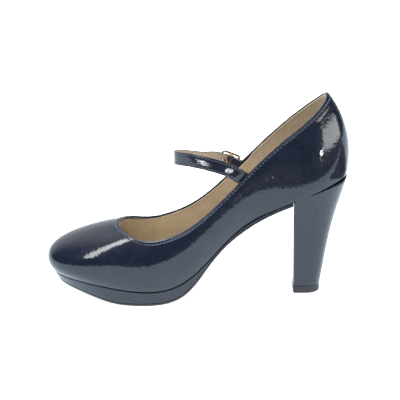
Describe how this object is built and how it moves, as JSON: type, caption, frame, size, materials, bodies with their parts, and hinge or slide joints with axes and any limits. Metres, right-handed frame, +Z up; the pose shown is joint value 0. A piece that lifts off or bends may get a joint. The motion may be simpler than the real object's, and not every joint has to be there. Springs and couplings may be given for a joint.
{
  "type": "high heel pump",
  "caption": "Right platform pump with a block-like tapered high heel and a buckled instep strap; the strap swings open and the buckle's prong lifts.",
  "frame": {"origin": "on the ground, under the steel pin in the middle of the heel tip", "axes": "+Z up, -X to the toe, +X to the back of the heel, +Y to the outer (lateral) side, -Y to the inner (medial) side"},
  "size_m": [0.2309, 0.0829, 0.1589],
  "materials": {
    "patent": "gloss, navy patent leather with a fine pebble grain",
    "lining": "matt beige lining leather",
    "sock": "matt beige sock leather",
    "thread": "navy polyester thread",
    "tape": "woven cotton tape",
    "stiffener": "impregnated fabric stiffener",
    "filler": "cork and felt filler",
    "foam": "open-cell foam",
    "board": "cellulose insole board",
    "core": "light moulded platform",
    "outsole": "satin dark rubber sheet",
    "top_piece": "satin black polyurethane",
    "heel_plastic": "moulded heel plastic",
    "steel": "zinc-plated steel",
    "gold": "polished pale gold plating"
  },
  "bodies": {
    "shoe": {"upper": "patent", "topline_tape": "tape", "toe_puff": "stiffener", "heel_counter": "stiffener", "back_seam_tape": "tape", "vamp_lining": "lining", "quarter_lining": "lining", "topline_thread": "thread", "strap_anchor": "patent", "tab_anchor": "patent", "forefoot_filler": "filler", "sock_foam": "foam", "sock_lining": "sock", "platform_core": "core", "platform_wrap": "patent", "outsole": "outsole", "heel_cover": "patent", "heel_block": "heel_plastic", "top_piece": "top_piece", "top_piece_pin": "steel", "heel_screw": "steel", "heel_nails": "steel", "shank_rivets": "steel", "shank": "steel", "insole_board": "board"},
    "strap_arm": {"strap": "patent", "strap_lining": "lining", "strap_thread": "thread", "buckle_tab": "patent"},
    "buckle": {"buckle_frame": "gold"},
    "prong": {"buckle_prong": "gold"}
  },
  "joints": [
    {"name": "strap_swing", "type": "hinge", "parent": "shoe", "child": "strap_arm", "pos_m": [-0.0497, -0.0229, 0.0983], "axis": [0.4472, 0, 0.8944], "range_deg": [0, 80]},
    {"name": "buckle_tilt", "type": "hinge", "parent": "strap_arm", "child": "buckle", "pos_m": [-0.059, 0.0263, 0.0948], "axis": [0.3584, 0, 0.9336], "range_deg": [-2.5, 2.5]},
    {"name": "prong_lift", "type": "hinge", "parent": "buckle", "child": "prong", "pos_m": [-0.059, 0.0263, 0.0948], "axis": [-0.3584, 0, -0.9336], "range_deg": [0, 80]}
  ]
}
